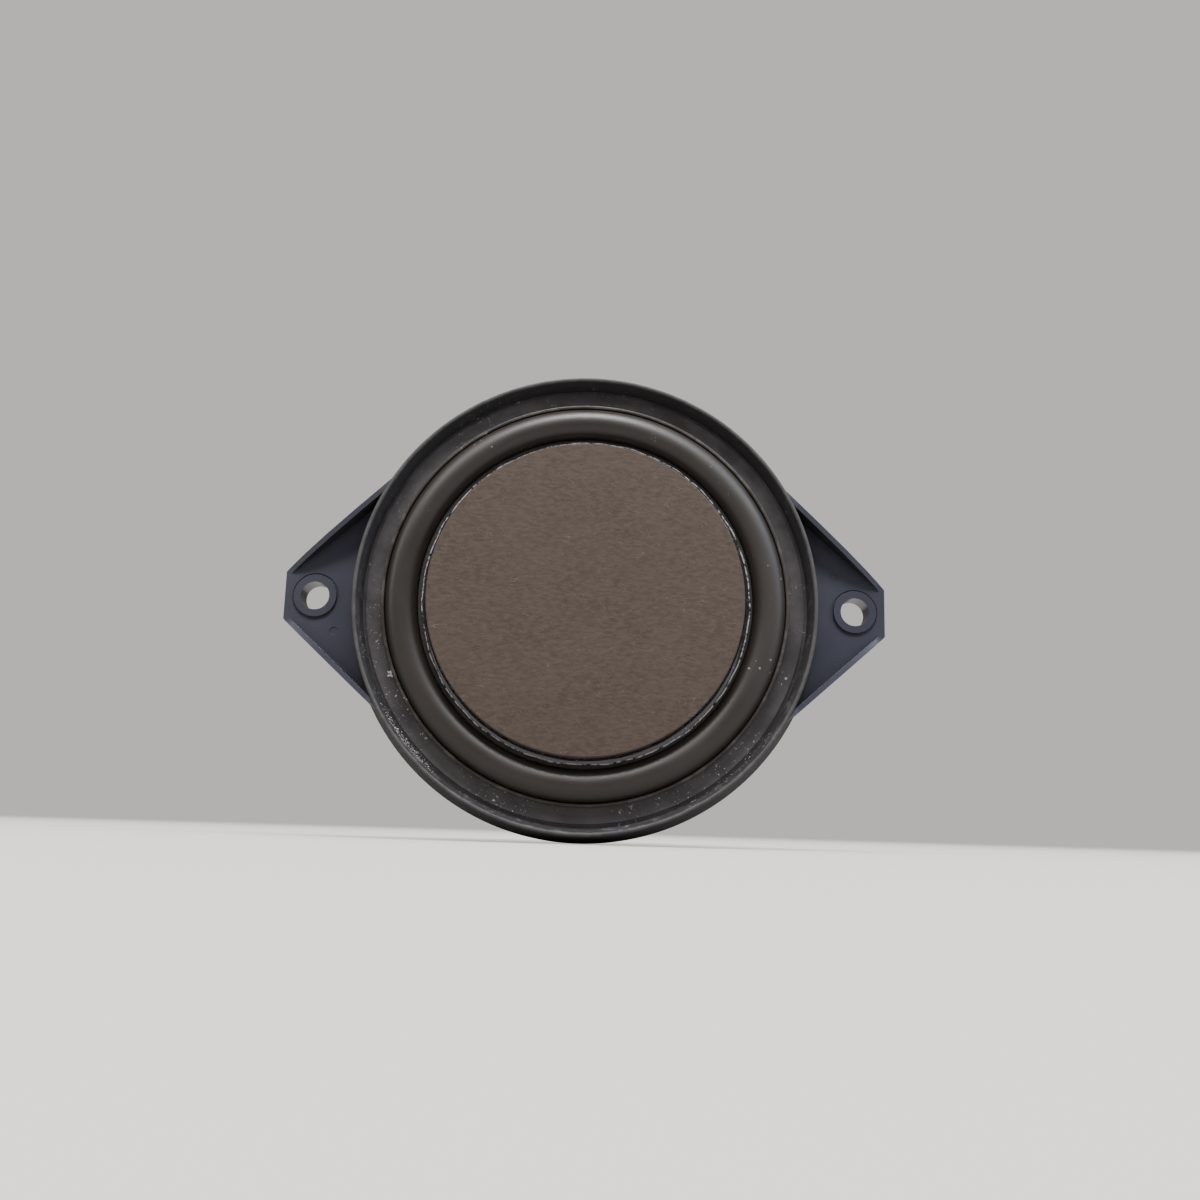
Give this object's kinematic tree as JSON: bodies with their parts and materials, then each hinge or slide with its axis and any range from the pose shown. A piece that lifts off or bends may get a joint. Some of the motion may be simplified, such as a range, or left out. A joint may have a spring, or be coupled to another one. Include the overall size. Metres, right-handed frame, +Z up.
{
  "type": "car door speaker",
  "caption": "Small round car loudspeaker driver with a plastic frame, two screw ears, a rubber edge, a flat disc diaphragm and a ring-magnet motor.",
  "frame": {"origin": "on the speaker's axis, in the plane that the two ear bosses sit on", "axes": "+X through the screw ears, +Z up, the face looks along -Y and the motor points along +Y"},
  "size_m": [0.113, 0.0417, 0.0886],
  "materials": {
    "frame_plastic": "moulded satin black",
    "rubber_edge": "satin black rubber",
    "disc_paper": "grey-brown pressed paper",
    "cone_paper": "black pressed paper",
    "glue": "glossy dried glue",
    "former_film": "amber film",
    "copper_wire": "enamelled copper",
    "spider_cloth": "resin-stiffened cloth",
    "plated_steel": "zinc plated",
    "ferrite": "ground ferrite",
    "board": "moulded resin",
    "tinned_brass": "tinned",
    "solder": "bright solder"
  },
  "bodies": {
    "frame_and_motor": {"basket": "frame_plastic", "surround": "rubber_edge", "spider": "spider_cloth", "top_plate": "plated_steel", "magnet": "ferrite", "yoke": "plated_steel", "motor_screws": "plated_steel", "terminal_board": "board", "board_rivet": "tinned_brass", "terminal_plus": "tinned_brass", "terminal_minus": "tinned_brass", "lead_plus": "copper_wire", "lead_minus": "copper_wire", "solder_joints": "solder"},
    "diaphragm": {"front_disc": "disc_paper", "glue_bead": "glue", "cone": "cone_paper", "coil_former": "former_film", "voice_coil": "copper_wire", "neck_glue": "glue", "lead_glue": "glue"}
  },
  "joints": [
    {"name": "cone_travel", "type": "slide", "parent": "frame_and_motor", "child": "diaphragm", "axis": [0, -1, 0], "range_m": [-0.0025, 0.0025], "stiffness_N_per_m": 1200, "deforming": ["surround", "spider", "lead_plus", "lead_minus"]}
  ]
}
